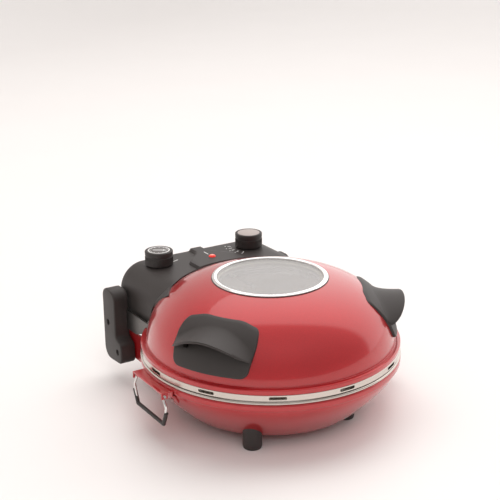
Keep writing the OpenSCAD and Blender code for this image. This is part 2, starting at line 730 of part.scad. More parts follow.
unit_top = housing_top - wall - 0.2;
module control_unit(x, r, h) {
    translate([x, knob_y, 0]) difference() {
        union() {
            translate([0, 0, unit_top - 3 - h]) cylinder(h = h, r = r);
            translate([0, 0, unit_top - 3 - join]) cylinder(h = 3, r = 6);
        }
        translate([0, 0, unit_top - 18]) cylinder(h = 30, r = shaft_r + running);
    }
}
module timer_unit() { color([0.7, 0.66, 0.5]) in_place() control_unit(-knob_x, 21, 28); }
module thermostat_unit() {
    color([0.85, 0.84, 0.8]) in_place() {
        control_unit(knob_x, 16, 22);
        for (x = [-8, 8]) translate([knob_x + x - 3, knob_y + 4, unit_top - 31]) cube([6, 0.8, 7]);
    }
}
module thermostat_probe() {
    color(bright) in_place() {
        wire([[knob_x - 13, knob_y - 4, unit_top - 25 - join], [knob_x - 13, knob_y - 4, probe_z],
              [probe_x, knob_y - 4, probe_z], [probe_x, 152, probe_z]], 1);
        rod([probe_x, 106, probe_z], [probe_x, 152, probe_z], 3);
    }
}
module terminal_block() {
    color([0.9, 0.88, 0.82]) in_place() difference() {
        translate([84, 178, housing_low + wall]) cube([28, 14, 9]);
        for (x = [89 : 9 : 107]) translate([x, 185, housing_low + wall + 3]) cylinder(h = 10, r = 2.2);
    }
}
// Lead from the terminal block, through the right arm, into the hollow pin
module upper_lead() {
    color([0.75, 0.72, 0.66]) in_place() wire([[112.1, lead_y, lead_z], [136.6, lead_y, lead_z],
        [136.6, 180, 66], [136.6, hinge_y, hinge_z], [pin_mid + 0.2, hinge_y, hinge_z]], lead_r);
}

// ---- knobs ----

knob_low = housing_top + 1.4;
module knob(x, pocket) {
    turn = knob_top - 8;
    color(black) in_place() translate([x, knob_y, 0]) difference() {
        turned([[0, knob_top], [0, knob_top - 5], [shaft_r + join, knob_top - 5],
            [shaft_r + join, knob_low + 2], [6.5, knob_low + 2], [6.5, knob_top - 5],
            [knob_r - 3, knob_top - 5], [knob_r - 2.4, knob_low],
            [knob_r - 0.4, knob_low], [knob_r, knob_low + 1], [knob_r, turn], [knob_r - 0.8, turn + 0.3],
            [knob_r - 0.8, turn + 1.5], [knob_r, turn + 1.8], [knob_r, knob_top - 1.6],
            [knob_r - 1.4, knob_top]]);
        if (pocket) translate([0, 0, knob_top - 0.6]) cylinder(h = 2, r = knob_r - 3.4);
    }
}
module knob_shaft(x) {
    color(bright) in_place() translate([x, knob_y, unit_top - 17])
        cylinder(h = knob_top - 5 - unit_top + 17 - join, r = shaft_r);
}
module timer_knob() { knob(-knob_x, true); }
module thermostat_knob() { knob(knob_x, false); }
module timer_dial() {
    color([0.9, 0.9, 0.88]) in_place() translate([-knob_x, knob_y, knob_top - 0.6])
        cylinder(h = 0.5, r = knob_r - 3.5);
}
module timer_shaft() { knob_shaft(-knob_x); }
module thermostat_shaft() { knob_shaft(knob_x); }

// ---- stone ----

module baking_stone() {
    color([0.80, 0.74, 0.64]) in_place() turned([[0, stone_z], [stone_r - 1.5, stone_z],
        [stone_r, stone_z + 1.5], [stone_r, stone_z + stone_t - 1.5],
        [stone_r - 1.5, stone_z + stone_t], [0, stone_z + stone_t]]);
}

base_shell();
base_reflector();
stone_supports();
lower_element();
lower_element_clips();
lower_terminals();
lower_lead();
base_rivets();
left_bail_bracket();
right_bail_bracket();
left_hinge_bracket();
right_hinge_bracket();
hinge_bracket_screws();
left_hinge_pin();
right_hinge_pin();
foot_front_left();
foot_front_right();
foot_rear_left();
foot_rear_right();
foot_screws();
baking_stone();
left_bail_wire();
left_bail_sleeve();
right_bail_wire();
right_bail_sleeve();
lid_shell();
lid_reflector();
window_glass();
window_ring();
window_gasket();
window_clamp_ring();
window_clamp_screws();
upper_element();
upper_element_clips();
upper_terminals();
left_lid_handle();
right_lid_handle();
handle_screws();
control_housing();
housing_cover();
housing_screws();
left_arm_cover();
right_arm_cover();
arm_screws();
left_hinge_strap();
right_hinge_strap();
pilot_lens();
pilot_lamp();
timer_unit();
thermostat_unit();
thermostat_probe();
terminal_block();
cord_inlet_gland();
upper_lead();
timer_knob();
timer_dial();
timer_shaft();
thermostat_knob();
thermostat_shaft();
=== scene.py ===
import json
from math import acos, asin, atan2, cos, hypot, pi, radians, sin, sqrt, tan

import bmesh
import bpy
from mathutils import Matrix, Vector


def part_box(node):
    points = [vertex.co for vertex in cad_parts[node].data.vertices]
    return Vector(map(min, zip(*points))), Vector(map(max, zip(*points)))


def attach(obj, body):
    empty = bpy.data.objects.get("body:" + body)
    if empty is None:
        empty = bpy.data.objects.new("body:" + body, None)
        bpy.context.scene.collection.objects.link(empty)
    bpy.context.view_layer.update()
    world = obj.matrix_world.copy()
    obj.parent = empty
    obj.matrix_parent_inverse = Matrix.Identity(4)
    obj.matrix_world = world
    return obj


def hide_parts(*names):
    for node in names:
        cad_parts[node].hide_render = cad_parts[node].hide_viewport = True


# Countertop pizza oven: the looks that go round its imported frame. Pieces are drawn in
# millimetres round the oven's own upright axis; settle() brings each one into the frame.
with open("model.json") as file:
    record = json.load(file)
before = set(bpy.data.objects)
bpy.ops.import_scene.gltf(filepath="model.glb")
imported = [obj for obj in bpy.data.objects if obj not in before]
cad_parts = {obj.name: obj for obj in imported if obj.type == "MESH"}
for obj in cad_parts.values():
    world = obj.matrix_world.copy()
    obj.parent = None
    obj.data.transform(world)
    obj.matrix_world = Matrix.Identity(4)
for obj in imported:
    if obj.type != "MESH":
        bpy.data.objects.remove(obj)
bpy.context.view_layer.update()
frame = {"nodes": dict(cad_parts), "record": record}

MM = 0.001


def node_box(node):
    """Lowest and highest corners of a node, in millimetres round the oven's axis."""
    low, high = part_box(node)
    shift = Vector((0, AXIS_Y, 0))
    return (Vector(low) - shift) / MM, (Vector(high) - shift) / MM


AXIS_Y = (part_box("base_shell")[0][1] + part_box("base_shell")[1][1]) / 2

# ---------------------------------------------------------------- sizes, in millimetres

rim_r = round(node_box("base_shell")[1].x, 1)
base_top = round(node_box("base_shell")[1].z, 1)
belly_z = round(node_box("base_shell")[0].z, 1)
window_hole_r = 74.0
dome = [(168.0, 99.5), (163.0, 134.5), (146.5, 170.0), (window_hole_r, 182.5)]
bowl = [(128.0, belly_z), (143.0, 28.0), (171.0, 57.0), (172.2, 68.0)]
shell_t = 1.5
liner_gap = 8.0
lid_rim = rim_r - 0.9
edge_low = 92.3
shoulder_z = 98.7
lip_z = base_top + 2.0
band_r = rim_r - 1.6
band_low = base_top + 5.0
band_top = edge_low - 0.1
SLOT_COUNT = 12
VENT_COUNT = 12
ELEMENT_R = 3.25
ELEMENT_GAP = 13.65  # half the gap between an element's two ends
FOOT_R = 12.5
BAIL_X, BAIL_Z, BAIL_HALF = 184.0, 71.5, 44.0
WIRE_R, SLEEVE_R = 1.75, 2.6
ROUND = 192  # faces round a turned piece
DISH_LOW = 33.0
LENS_Y = 153.0
HANDLE_ANGLE, HANDLE_HALF, BRIM_REACH = 61.0, 56.5, 16.5
PLATE_T, PLATE_GAP = 3.6, 0.3
HOUSING_X, HOUSING_LOW, HOUSING_TOP, HOUSING_BACK = 123.0, 91.0, 163.0, 204.0
HOUSING_ROUND, WALL, PAD_TOP = 36.0, 2.5, 167.0
ARM_X0, ARM_X1 = 126.9, 150.0
ARM_SCREW, HINGE = (194.0, 84.5), (167.0, 47.0)
KNOB_X, KNOB_Y, KNOB_R = 75.0, 174.0, 20.0
HEADING, PITCH, ROLL = -31.90, 18.54, 0.55  # the camera's, in degrees
FIELD = 2.256  # the lens's length over the sensor's width


def bezier(p, t):
    k = [(1 - t) ** 3, 3 * (1 - t) ** 2 * t, 3 * (1 - t) * t * t, t ** 3]
    return tuple(sum(w * q[i] for w, q in zip(k, p)) for i in (0, 1))


def bezier_run(p, t):
    k = [(1 - t) ** 2, 2 * (1 - t) * t, t * t]
    d = [sum(w * (b[i] - a[i]) for w, a, b in zip(k, p, p[1:])) for i in (0, 1)]
    return d[0] / hypot(*d), d[1] / hypot(*d)


def along(p, gap=0.0, steps=48):
    """Points along a curve, moved away from the axis by gap."""
    out = []
    for i in range(steps + 1):
        (r, z), (dr, dz) = bezier(p, i / steps), bezier_run(p, i / steps)
        out.append((r + gap * dz, z - gap * dr))
    return out


def radius_at(p, z):
    """Radius of a curve's turned surface at a height."""
    pts = sorted(along(p), key=lambda q: q[1])
    if z <= pts[0][1]:
        return pts[0][0]
    for (r0, z0), (r1, z1) in zip(pts, pts[1:]):
        if z <= z1:
            return r0 + (r1 - r0) * (z - z0) / (z1 - z0)
    return pts[-1][0]


def arc(cx, cy, r, a0, a1, steps=8):
    """Points on an arc, angles in degrees."""
    turns = [radians(a0 + (a1 - a0) * i / steps) for i in range(steps + 1)]
    return [(cx + r * cos(a), cy + r * sin(a)) for a in turns]


def rounded(corners, steps=6):
    """Closed outline from corners given as (x, y, radius)."""
    out = []
    for i, (x, y, r) in enumerate(corners):
        o = Vector((x, y))
        u = (Vector(corners[i - 1][:2]) - o).normalized()
        v = (Vector(corners[(i + 1) % len(corners)][:2]) - o).normalized()
        if r <= 0:
            out.append((x, y))
            continue
        half = acos(max(-1, min(1, u.dot(v)))) / 2
        centre = o + (u + v).normalized() * r / sin(half)
        start, end = o + u * r / tan(half) - centre, o + v * r / tan(half) - centre
        a0, a1 = atan2(start.y, start.x), atan2(end.y, end.x)
        turn = (a1 - a0 + pi) % (2 * pi) - pi
        out += [(centre.x + r * cos(a0 + turn * k / steps), centre.y + r * sin(a0 + turn * k / steps))
                for k in range(steps + 1)]
    return out


def bent(points, radius, steps=8):
    """Path through points in space, each corner turned into an arc."""
    out = [Vector(points[0])]
    for a, o, b in zip(points, points[1:], points[2:]):
        a, o, b = Vector(a), Vector(o), Vector(b)
        u, v = (a - o).normalized(), (b - o).normalized()
        half = acos(max(-1, min(1, u.dot(v)))) / 2
        if half > radians(80):
            out.append(o)
            continue
        reach = min(radius / tan(half), (a - o).length * 0.5, (b - o).length * 0.5)
        r = reach * tan(half)
        centre = o + (u + v).normalized() * r / sin(half)
        p, q = o + u * reach - centre, o + v * reach - centre
        for k in range(steps + 1):
            out.append(centre + p.slerp(q, k / steps))
    return out + [Vector(points[-1])]


# ---------------------------------------------------------------- mesh helpers

def new_piece(name, mesh):
    piece = bpy.data.objects.new(name, mesh)
    bpy.context.scene.collection.objects.link(piece)
    return piece


def mesh_from(name, verts, faces, smooth=True):
    mesh = bpy.data.meshes.new(name)
    mesh.from_pydata([tuple(v) for v in verts], [], faces)
    mesh.validate()
    bm = bmesh.new()
    bm.from_mesh(mesh)
    bmesh.ops.remove_doubles(bm, verts=bm.verts, dist=1e-4)
    bmesh.ops.dissolve_degenerate(bm, edges=bm.edges, dist=1e-5)
    bmesh.ops.recalc_face_normals(bm, faces=bm.faces)
    bm.to_mesh(mesh)
    bm.free()
    for f in mesh.polygons:
        f.use_smooth = smooth
    return new_piece(name, mesh)


def turned(name, outline, round_count=ROUND):
    """A closed outline of (radius, height) turned round the upright axis."""
    verts, faces, n = [], [], len(outline)
    for i in range(round_count):
        a = 2 * pi * i / round_count
        verts += [(r * cos(a), r * sin(a), z) for r, z in outline]
    for i in range(round_count):
        j = (i + 1) % round_count
        faces += [(i * n + k, j * n + k, j * n + (k + 1) % n, i * n + (k + 1) % n) for k in range(n)]
    return mesh_from(name, verts, faces)


def applied(piece, *modifiers):
    """Adds modifiers given as (type, settings), applies them, and leaves a plain mesh."""
    for kind, settings in modifiers:
        m = piece.modifiers.new(kind.title(), kind)
        for key, value in settings.items():
            setattr(m, key, value)
    mesh = bpy.data.meshes.new_from_object(piece.evaluated_get(bpy.context.evaluated_depsgraph_get()))
    piece.modifiers.clear()
    piece.data = mesh
    return piece


def bevelled(piece, width, segments=3, angle=35):
    return applied(piece, ("BEVEL", dict(width=width, segments=segments, limit_method="ANGLE",
                                         angle_limit=radians(angle), use_clamp_overlap=True)))


def cut(piece, cutter):
    """Takes a cutter's shape out of a piece."""
    applied(piece, ("BOOLEAN", dict(operation="DIFFERENCE", object=cutter, solver="EXACT")))
    bpy.data.objects.remove(cutter)
    return piece


def joined(name, pieces):
    bm = bmesh.new()
    for p in pieces:
        bm.from_mesh(p.data)
        bpy.data.objects.remove(p)
    mesh = bpy.data.meshes.new(name)
    bm.to_mesh(mesh)
    bm.free()
    return new_piece(name, mesh)


def placed(piece, matrix):
    piece.data.transform(matrix)
    if matrix.determinant() < 0:
        piece.data.flip_normals()
    return piece


def smoothed(piece, angle=32):
    """Smooth shading, kept sharp where faces meet at more than an angle."""
    mesh = piece.data
    for f in mesh.polygons:
        f.use_smooth = True
    mesh.set_sharp_from_angle(angle=radians(angle))
    return piece


def bands(count, n):
    """Faces between count loops of n points that follow one another."""
    return [(k * n + i, k * n + (i + 1) % n, (k + 1) * n + (i + 1) % n, (k + 1) * n + i)
            for k in range(count - 1) for i in range(n)]


def oblong(x0, y0, x1, y1, r=0.0):
    """Rectangle between two corners, with round corners where r is given."""
    return rounded([(x0, y0, r), (x1, y0, r), (x1, y1, r), (x0, y1, r)])


def slab(name, outline, across):
    """An outline in two axes pushed along a third: across = (axis, low, high)."""
    axis, low, high = across
    order = {"x": lambda p, q, h: (h, p, q), "y": lambda p, q, h: (p, h, q),
             "z": lambda p, q, h: (p, q, h)}[axis]
    n = len(outline)
    verts = [order(p, q, low) for p, q in outline] + [order(p, q, high) for p, q in outline]
    faces = [tuple(range(n)), tuple(range(n, 2 * n))] + bands(2, n)
    return mesh_from(name, verts, faces, smooth=False)


def barrel(name, at, direction, outline, round_count=32):
    """A small turned piece with its axis at a place and in a direction."""
    piece = turned(name, outline, round_count)
    turn = Vector((0, 0, 1)).rotation_difference(Vector(direction).normalized()).to_matrix().to_4x4()
    return placed(piece, Matrix.Translation(Vector(at)) @ turn)


def settle(piece, body, finish, replaces=()):
    """Brings a drawn piece into the frame, gives it its finish and makes it ride on its body."""
    piece.data.transform(Matrix.Translation((0, AXIS_Y, 0)) @ Matrix.Scale(MM, 4))
    if finish and finish.name not in [m.name for m in piece.data.materials if m]:
        piece.data.materials.clear()
        piece.data.materials.append(finish)
    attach(piece, body)
    if replaces:
        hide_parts(*replaces)
    return piece


# ---------------------------------------------------------------- geometry node trees

def new_tree(name, inputs):
    """A tree with a Geometry input and output and named inputs given as (name, type, default)."""
    tree = bpy.data.node_groups.new(name, "GeometryNodeTree")
    face = tree.interface
    face.new_socket("Geometry", in_out="INPUT", socket_type="NodeSocketGeometry")
    for label, kind, default in inputs:
        s = face.new_socket(label, in_out="INPUT", socket_type="NodeSocket" + kind)
        if default is not None:
            s.default_value = default
    face.new_socket("Geometry", in_out="OUTPUT", socket_type="NodeSocketGeometry")
    return tree


def tree_node(tree, kind, settings=None, sockets=None):
    node = tree.nodes.new(kind)
    for key, value in (settings or {}).items():
        setattr(node, key, value)
    for key, value in (sockets or {}).items():
        if isinstance(value, bpy.types.NodeSocket):
            tree.links.new(value, node.inputs[key])
        else:
            node.inputs[key].default_value = value
    return node


def close_tree(tree, geometry, material):
    real = tree_node(tree, "GeometryNodeRealizeInstances", sockets={"Geometry": geometry})
    coat = tree_node(tree, "GeometryNodeSetMaterial",
                     sockets={"Geometry": real.outputs[0], "Material": material})
    tree_node(tree, "NodeGroupOutput", sockets={"Geometry": coat.outputs[0]})
    return tree


def swept_tube_tree():
    """A round tube along the piece's edges."""
    tree = new_tree("swept_tube", [("Radius", "Float", 1.0), ("Sides", "Int", 16),
                                   ("Material", "Material", None)])
    given = tree_node(tree, "NodeGroupInput").outputs
    path = tree_node(tree, "GeometryNodeMeshToCurve", sockets={"Mesh": given["Geometry"]})
    circle = tree_node(tree, "GeometryNodeCurvePrimitiveCircle", {"mode": "RADIUS"},
                       {"Resolution": given["Sides"], "Radius": given["Radius"]})
    tube = tree_node(tree, "GeometryNodeCurveToMesh",
                     sockets={"Curve": path.outputs[0], "Profile Curve": circle.outputs[0], "Fill Caps": True})
    soft = tree_node(tree, "GeometryNodeSetShadeSmooth", sockets={"Geometry": tube.outputs[0]})
    return close_tree(tree, soft.outputs[0], given["Material"])


def repeated_tree():
    """Copies of the piece, each moved by Step and turned by Turn (degrees) from the one before."""
    tree = new_tree("repeated", [("Count", "Int", 2), ("Step", "Vector", (0, 0, 0)), ("Turn", "Float", 0.0),
                                 ("Material", "Material", None)])
    given = tree_node(tree, "NodeGroupInput").outputs
    index = tree_node(tree, "GeometryNodeInputIndex").outputs[0]
    place = tree_node(tree, "ShaderNodeVectorMath", {"operation": "SCALE"},
                      {0: given["Step"], "Scale": index})
    angle = tree_node(tree, "ShaderNodeMath", {"operation": "MULTIPLY"}, {0: given["Turn"], 1: index})
    angle = tree_node(tree, "ShaderNodeMath", {"operation": "RADIANS"}, {0: angle.outputs[0]})
    turn = tree_node(tree, "ShaderNodeCombineXYZ", sockets={"Z": angle.outputs[0]})
    points = tree_node(tree, "GeometryNodePoints",
                       sockets={"Count": given["Count"], "Position": place.outputs[0]})
    copies = tree_node(tree, "GeometryNodeInstanceOnPoints",
                       sockets={"Points": points.outputs[0], "Instance": given["Geometry"],
                                "Rotation": turn.outputs[0]})
    return close_tree(tree, copies.outputs[0], given["Material"])


def grown(piece, tree, **inputs):
    """Runs a tree on a piece with its named inputs set, and keeps the result as a plain mesh."""
    m = piece.modifiers.new(tree.name, "NODES")
    m.node_group = tree
    ids = {s.name: s.identifier for s in tree.interface.items_tree if s.in_out == "INPUT"}
    for label, value in inputs.items():
        m[ids[label]] = value
    mesh = bpy.data.meshes.new_from_object(piece.evaluated_get(bpy.context.evaluated_depsgraph_get()))
    piece.modifiers.clear()
    piece.data = mesh
    return piece


swept_tube = swept_tube_tree()
repeated = repeated_tree()


def tube(name, path, radius, finish, sides=16):
    mesh = bpy.data.meshes.new(name)
    mesh.from_pydata([tuple(p) for p in path], [(i, i + 1) for i in range(len(path) - 1)], [])
    piece = grown(new_piece(name, mesh), swept_tube, Radius=radius, Sides=sides, Material=finish)
    return smoothed(piece, 50)


def repeat(piece, finish, count, step=(0, 0, 0), turn=0.0):
    return grown(piece, repeated, Count=count, Step=step, Turn=turn, Material=finish)


# ---------------------------------------------------------------- finishes

class Value:
    """A node's output that can be worked with like a number."""

    def __init__(self, finish, socket):
        self.finish, self.socket = finish, socket

    def _math(self, operation, a, b=0.0, clamp=False):
        return self.finish.node("ShaderNodeMath", {"operation": operation, "use_clamp": clamp}, {0: a, 1: b})

    def __add__(self, o): return self._math("ADD", self, o)
    def __radd__(self, o): return self._math("ADD", o, self)
    def __sub__(self, o): return self._math("SUBTRACT", self, o)
    def __rsub__(self, o): return self._math("SUBTRACT", o, self)
    def __mul__(self, o): return self._math("MULTIPLY", self, o)
    def __rmul__(self, o): return self._math("MULTIPLY", o, self)
    def __truediv__(self, o): return self._math("DIVIDE", self, o)
    def __rtruediv__(self, o): return self._math("DIVIDE", o, self)
    def __pow__(self, o): return self._math("POWER", self, o)
    def __gt__(self, o): return self._math("GREATER_THAN", self, o)
    def __lt__(self, o): return self._math("LESS_THAN", self, o)
    def clipped(self): return self._math("ADD", self, 0.0, clamp=True)

    def out(self, name):
        return Value(self.finish, self.socket.node.outputs[name])

    def between(self, low, high):
        """0 below low, 1 above high, smooth in between."""
        return self.finish.node("ShaderNodeMapRange", {"interpolation_type": "SMOOTHSTEP"},
                                {"Value": self, "From Min": low, "From Max": high})


class Finish:
    """A material made from nodes. node() adds any node and gives back its first output."""

    def __init__(self, name, **shader):
        self.material = bpy.data.materials.new(name)
        self.material.use_nodes = True
        self.tree = self.material.node_tree
        self.tree.nodes.clear()
        self.surface = self.node("ShaderNodeBsdfPrincipled", sockets=shader).socket.node
        self.output = self.tree.nodes.new("ShaderNodeOutputMaterial")
        self.tree.links.new(self.surface.outputs[0], self.output.inputs[0])
        self.object = self.node("ShaderNodeTexCoord").out("Object")

    def node(self, kind, settings=None, sockets=None):
        node = self.tree.nodes.new(kind)
        for key, value in (settings or {}).items():
            if key == "stops":
                ramp = node.color_ramp
                while len(ramp.elements) < len(value):
                    ramp.elements.new(0.5)
                for element, (place, colour) in zip(ramp.elements, value):
                    element.position, element.color = place, (*colour, 1)
            else:
                setattr(node, key, value)
        for key, value in (sockets or {}).items():
            if isinstance(value, Value):
                self.tree.links.new(value.socket, node.inputs[key])
            elif isinstance(value, tuple) and len(value) == 3 and node.inputs[key].type == "RGBA":
                node.inputs[key].default_value = (*value, 1)
            else:
                node.inputs[key].default_value = value
        return Value(self, next(s for s in node.outputs if s.enabled) if len(node.outputs) else None)

    def noise(self, scale, detail=2.0, rough=0.5, stretch=None, at=None):
        where = at or self.object
        if stretch:
            where = self.node("ShaderNodeMapping", sockets={"Vector": where, "Scale": stretch})
        return self.node("ShaderNodeTexNoise",
                         sockets={"Vector": where, "Scale": scale, "Detail": detail, "Roughness": rough})

    def cells(self, scale, feature="F1"):
        return self.node("ShaderNodeTexVoronoi", {"feature": feature},
                         {"Vector": self.object, "Scale": scale})

    def blend(self, factor, a, b):
        node = self.tree.nodes.new("ShaderNodeMix")
        node.data_type = "RGBA"
        for key, value in ((0, factor), (6, a), (7, b)):
            if isinstance(value, Value):
                self.tree.links.new(value.socket, node.inputs[key])
            else:
                node.inputs[key].default_value = (*value, 1) if isinstance(value, tuple) else value
        return Value(self, node.outputs[2])

    def bump(self, height, distance, strength=1.0, after=None):
        sockets = {"Height": height, "Distance": distance, "Strength": strength}
        if after:
            sockets["Normal"] = after
        return self.node("ShaderNodeBump", sockets=sockets)

    def feed(self, **sockets):
        """Links worked-out values to the surface: Base_Color for Base Color, and so on."""
        for key, value in sockets.items():
            self.tree.links.new(value.socket, self.surface.inputs[key.replace("_", " ")])
        return self.material


def axes(f):
    return f.node("ShaderNodeSeparateXYZ", sockets={"Vector": f.object})


def red_enamel():
    """Metallic red with fine flakes under a clear coat."""
    f = Finish("red_enamel", Metallic=0.40,
               **{"Coat Roughness": 0.07, "Coat IOR": 1.6, "Specular IOR Level": 0.5})
    flakes = f.cells(1400).out("Color")
    flake = f.node("ShaderNodeSeparateColor", sockets={"Color": flakes})
    drift = f.noise(9, 3)
    tone = (flake * 0.30 + drift * 0.5 + 0.1).clipped()
    colour = f.blend(tone, (0.36, 0.002, 0.006), (0.60, 0.007, 0.012))
    peel = f.bump(f.noise(260, 2), 0.0002, 0.06)
    peel = f.bump(flake, 0.00008, 0.10, after=peel)
    return f.feed(Base_Color=colour, Roughness=0.30 + flake * 0.10 + drift * 0.06,
                  Coat_Weight=0.92 + 0.08 * f.noise(30), Normal=peel)


def bright_metal(name="bright_steel", tint=(0.80, 0.79, 0.77), rough=0.12, streak=(1, 1, 1)):
    f = Finish(name, Metallic=1.0)
    smear = f.noise(22, 4, 0.6)
    fine = f.noise(700, 2, 0.5, stretch=streak)
    colour = f.blend(smear, tuple(0.93 * c for c in tint), tint)
    return f.feed(Base_Color=colour, Roughness=(rough + smear * 0.10 + fine * 0.05 - 0.04).clipped(),
                  Normal=f.bump(fine, 0.00005, 0.12))


def satin_steel(name="satin_steel", dark=(0.42, 0.41, 0.40), light=(0.62, 0.61, 0.60)):
    f = Finish(name, Metallic=1.0)
    grain = f.noise(260, 3, 0.6, stretch=(1, 1, 9))
    stain = f.noise(30, 4)
    return f.feed(Base_Color=f.blend(stain, dark, light),
                  Roughness=(0.30 + grain * 0.18).clipped(), Normal=f.bump(grain, 0.0001, 0.2))


def element_steel():
    """Sheathed element tube, darkened and tinted by heat."""
    f = Finish("element_steel", Metallic=0.7)
    heat = f.noise(28, 4, 0.6)
    colour = f.node("ShaderNodeValToRGB", {"stops": [(0.2, (0.05, 0.047, 0.045)), (0.5, (0.16, 0.13, 0.11)),
                                                     (0.75, (0.12, 0.12, 0.14))]}, {"Fac": heat})
    return f.feed(Base_Color=colour, Roughness=(0.42 + f.noise(300, 2) * 0.25).clipped(),
                  Normal=f.bump(f.noise(900, 2), 0.0001, 0.3))


def black_moulding(name="black_moulding", dark=(0.027, 0.021, 0.019), light=(0.038, 0.031, 0.029),
                   rough=0.42):
    """Warm black plastic with a fine spark-eroded grain."""
    f = Finish(name, **{"Specular IOR Level": 0.55})
    grain = f.noise(1900, 3, 0.6)
    cloud = f.noise(14, 3)
    return f.feed(Base_Color=f.blend(cloud, dark, light),
                  Roughness=(rough + grain * 0.14 + cloud * 0.06).clipped(),
                  Normal=f.bump(grain, 0.00012, 0.35))


def stone_finish():
    """Pale refractory stone: fine grit, darker specks and small pores."""
    f = Finish("stone", **{"Specular IOR Level": 0.25})
    grit = f.noise(420, 4, 0.7)
    specks = f.cells(260).out("Distance")
    cloud = f.noise(12, 5, 0.6)
    base = f.blend(cloud, (0.60, 0.50, 0.37), (0.74, 0.65, 0.51))
    base = f.blend((grit - 0.35).clipped() * 1.2, base, (0.82, 0.75, 0.62))
    base = f.blend((1 - specks.between(0.08, 0.26)) * 0.5, base, (0.34, 0.26, 0.18))
    pores = f.cells(520).out("Distance").between(0.06, 0.3)
    return f.feed(Base_Color=base, Roughness=(0.82 + grit * 0.15).clipped(),
                  Normal=f.bump(pores, 0.0004, 0.4, after=f.bump(grit, 0.0005, 0.5)))


def ceramic():
    f = Finish("ceramic", **{"Specular IOR Level": 0.35})
    grain = f.noise(500, 4, 0.6)
    return f.feed(Base_Color=f.blend(f.noise(40, 3), (0.76, 0.72, 0.63), (0.86, 0.83, 0.76)),
                  Roughness=(0.55 + grain * 0.3).clipped(), Normal=f.bump(grain, 0.0002, 0.3))


def tempered_glass():
    """Tempered glass with a grey, part-opaque film as painted reflection of the bright surroundings; its
    random mottle also stands for smudges from use.
    """
    f = Finish("glass", **{"IOR": 1.5, "Specular IOR Level": 0.9, "Coat Weight": 0.0})
    painted_glare_and_smudge = f.noise(16, 4, 0.6)
    # grey base colour at low alpha: painted reflection of the bright room over the pane, mottled at random
    return f.feed(Base_Color=f.blend(painted_glare_and_smudge, (0.66, 0.64, 0.63), (0.72, 0.70, 0.69)),
                  Alpha=(0.34 + painted_glare_and_smudge * 0.10).clipped(), Roughness=(0.03 + painted_glare_and_smudge * 0.05).clipped())


def red_lens():
    """Clear red lens lit from inside."""
    f = Finish("red_lens", **{"Specular IOR Level": 0.7, "Emission Strength": 0.55})
    place = axes(f)
    spread = ((place * place + (place.out("Y") - (AXIS_Y + 0.154)) ** 2) ** 0.5).between(0.001, 0.0045)
    glow = f.blend(spread, (1.0, 0.62, 0.42), (0.55, 0.015, 0.01))
    return f.feed(Base_Color=f.blend(f.noise(60, 2), (0.70, 0.02, 0.015), (0.85, 0.05, 0.03)),
                  Emission_Color=glow, Roughness=(0.10 + f.noise(200, 2) * 0.08).clipped())


def braided_sleeve():
    f = Finish("lead_sleeve", **{"Specular IOR Level": 0.3})
    weave = f.node("ShaderNodeTexWave", {"wave_type": "BANDS", "bands_direction": "DIAGONAL"},
                   {"Vector": f.object, "Scale": 420.0, "Distortion": 2.0})
    strand = f.node("ShaderNodeSeparateColor", sockets={"Color": weave})
    return f.feed(Base_Color=f.blend(strand, (0.52, 0.48, 0.40), (0.74, 0.70, 0.62)),
                  Roughness=(0.75 + strand * 0.15).clipped(), Normal=f.bump(strand, 0.0004, 0.6))


def printed(name="white_print", colour=(0.80, 0.79, 0.77)):
    """Screen-printed ink, a little uneven."""
    f = Finish(name, **{"Specular IOR Level": 0.4})
    ink = f.noise(900, 3)
    return f.feed(Base_Color=f.blend(ink * 0.4, colour, tuple(0.75 * c for c in colour)),
                  Roughness=(0.4 + ink * 0.25).clipped())


RED = red_enamel()
BRIGHT = bright_metal()
# warm, darker tint: partly the sheet's own tone, partly painted reflection of the red enamel around the band
# and lip
LINER = bright_metal("reflector_sheet", (0.66, 0.60, 0.55), 0.20)
SATIN = satin_steel()
# hinge straps darkened as painted shade: they sit in the shade under the housing, between the arm and the dome
SHADED_STRAP = satin_steel("strap_steel_painted_shade", (0.12, 0.11, 0.105), (0.26, 0.25, 0.24))
POLISHED = bright_metal("polished_steel", (0.97, 0.96, 0.95), 0.06)
BLACKENED = satin_steel("blackened_steel", (0.030, 0.027, 0.025), (0.060, 0.054, 0.050))
ELEMENT = element_steel()
BLACK = black_moulding()
CAP = black_moulding("heat_knob_cap", (0.36, 0.30, 0.28), (0.42, 0.355, 0.33), 0.30)
DIAL = black_moulding("timer_dial_cap", (0.085, 0.075, 0.070), (0.115, 0.10, 0.095), 0.30)
STONE = stone_finish()
CERAMIC = ceramic()
GLASS = tempered_glass()
LENS = red_lens()
SLEEVE = braided_sleeve()
PRINT = printed()

SLOT_FINISH = {"red_enamel": RED, "bright_steel": BRIGHT, "satin_steel": SATIN, "element_steel": ELEMENT,
               "black_moulding": BLACK, "ceramic": CERAMIC, "glass": GLASS, "stone": STONE, "red_lens": LENS,
               "lead_sleeve": SLEEVE, "dial_print": BLACK}
for part in frame["record"]["subparts"]:
    for material_slot in frame["nodes"][part["node"]].material_slots:
        material_slot.material = SLOT_FINISH[part["material_slot"]]
OWN_FINISH = {"handle_screws": BLACKENED, "arm_screws": BLACKENED, "housing_screws": BLACKENED,
              "left_hinge_strap": SHADED_STRAP, "right_hinge_strap": SHADED_STRAP}
for node, own in OWN_FINISH.items():
    for material_slot in frame["nodes"][node].material_slots:
        material_slot.material = own

# ---------------------------------------------------------------- base


